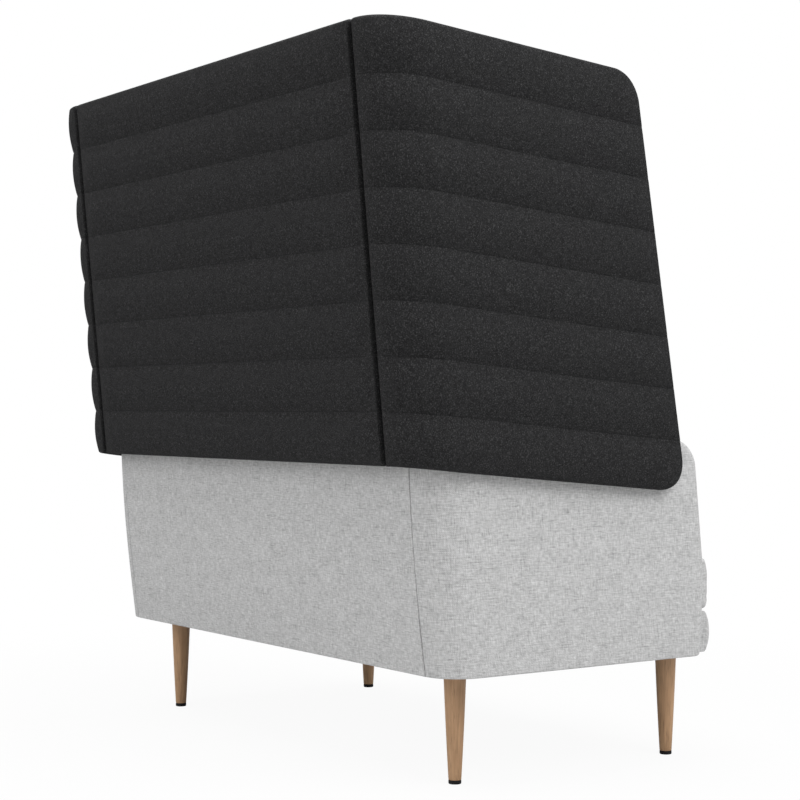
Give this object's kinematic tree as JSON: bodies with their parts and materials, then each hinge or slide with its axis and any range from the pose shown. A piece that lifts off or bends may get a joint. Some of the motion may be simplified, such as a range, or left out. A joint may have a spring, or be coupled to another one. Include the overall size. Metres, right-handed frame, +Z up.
{
  "type": "high-back sofa",
  "caption": "High-back sofa: horizontally channelled screens wrap round the back and sides of a padded tub seat with loose seat cushions, on slim tapered round legs with levelling feet.",
  "frame": {"origin": "on the floor, under the centre of the bounding box", "axes": "+Z up, -Y towards the open front of the seat, +X to the sitter's left"},
  "size_m": [1.364, 0.84, 1.3787],
  "materials": {
    "timber": "sawn beech, uncoated",
    "plywood": "sanded plywood",
    "oak": "turned oak, matt oil",
    "grey_weave": "light grey melange wool weave",
    "charcoal_felt": "charcoal felted wool, quilted in channels",
    "black_plastic": "matt black",
    "zinc_steel": "zinc plated",
    "webbing": "elastic webbing",
    "black_cloth": "spunbonded black cloth"
  },
  "bodies": {
    "sofa": {"front_rail": "timber", "rear_rail": "timber", "side_rail_left": "timber", "side_rail_right": "timber", "centre_rail": "timber", "corner_block_front_left": "timber", "corner_block_front_right": "timber", "corner_block_rear_left": "timber", "corner_block_rear_right": "timber", "screen_spacer": "timber", "side_board_left": "plywood", "side_board_right": "plywood", "back_board": "plywood", "back_screen_board": "plywood", "side_screen_board_left": "plywood", "side_screen_board_right": "plywood", "legs": "oak", "side_shell_left": "grey_weave", "side_shell_right": "grey_weave", "back_shell": "grey_weave", "front_rail_pad": "grey_weave", "back_cushion_left": "grey_weave", "back_cushion_right": "grey_weave", "back_screen_pad": "charcoal_felt", "back_screen_lining": "charcoal_felt", "side_screen_pad_left": "charcoal_felt", "side_screen_pad_right": "charcoal_felt", "side_screen_lining_left": "charcoal_felt", "side_screen_lining_right": "charcoal_felt", "screen_post_left": "black_plastic", "screen_post_right": "black_plastic", "leg_plates": "zinc_steel", "leg_studs": "zinc_steel", "screen_plates_left": "zinc_steel", "screen_plates_right": "zinc_steel", "webbing_lengthwise": "webbing", "webbing_crosswise": "webbing", "deck_cloth": "black_cloth", "dust_cover": "black_cloth"},
    "glide_front_left": {"glide_front_left": "black_plastic"},
    "glide_front_right": {"glide_front_right": "black_plastic"},
    "glide_rear_left": {"glide_rear_left": "black_plastic"},
    "glide_rear_right": {"glide_rear_right": "black_plastic"},
    "seat_cushion_left": {"seat_cushion_left": "grey_weave"},
    "seat_cushion_right": {"seat_cushion_right": "grey_weave"}
  },
  "joints": [
    {"name": "glide_front_left_screw", "type": "slide", "parent": "sofa", "child": "glide_front_left", "axis": [0, 0, -1], "range_m": [0, 0.008]},
    {"name": "glide_front_right_screw", "type": "slide", "parent": "sofa", "child": "glide_front_right", "axis": [0, 0, -1], "range_m": [0, 0.008]},
    {"name": "glide_rear_left_screw", "type": "slide", "parent": "sofa", "child": "glide_rear_left", "axis": [0, 0, -1], "range_m": [0, 0.008]},
    {"name": "glide_rear_right_screw", "type": "slide", "parent": "sofa", "child": "glide_rear_right", "axis": [0, 0, -1], "range_m": [0, 0.008]},
    {"name": "seat_cushion_left_lift", "type": "slide", "parent": "sofa", "child": "seat_cushion_left", "axis": [0, 0, 1], "range_m": [0, 0.3]},
    {"name": "seat_cushion_right_lift", "type": "slide", "parent": "sofa", "child": "seat_cushion_right", "axis": [0, 0, 1], "range_m": [0, 0.3]}
  ]
}
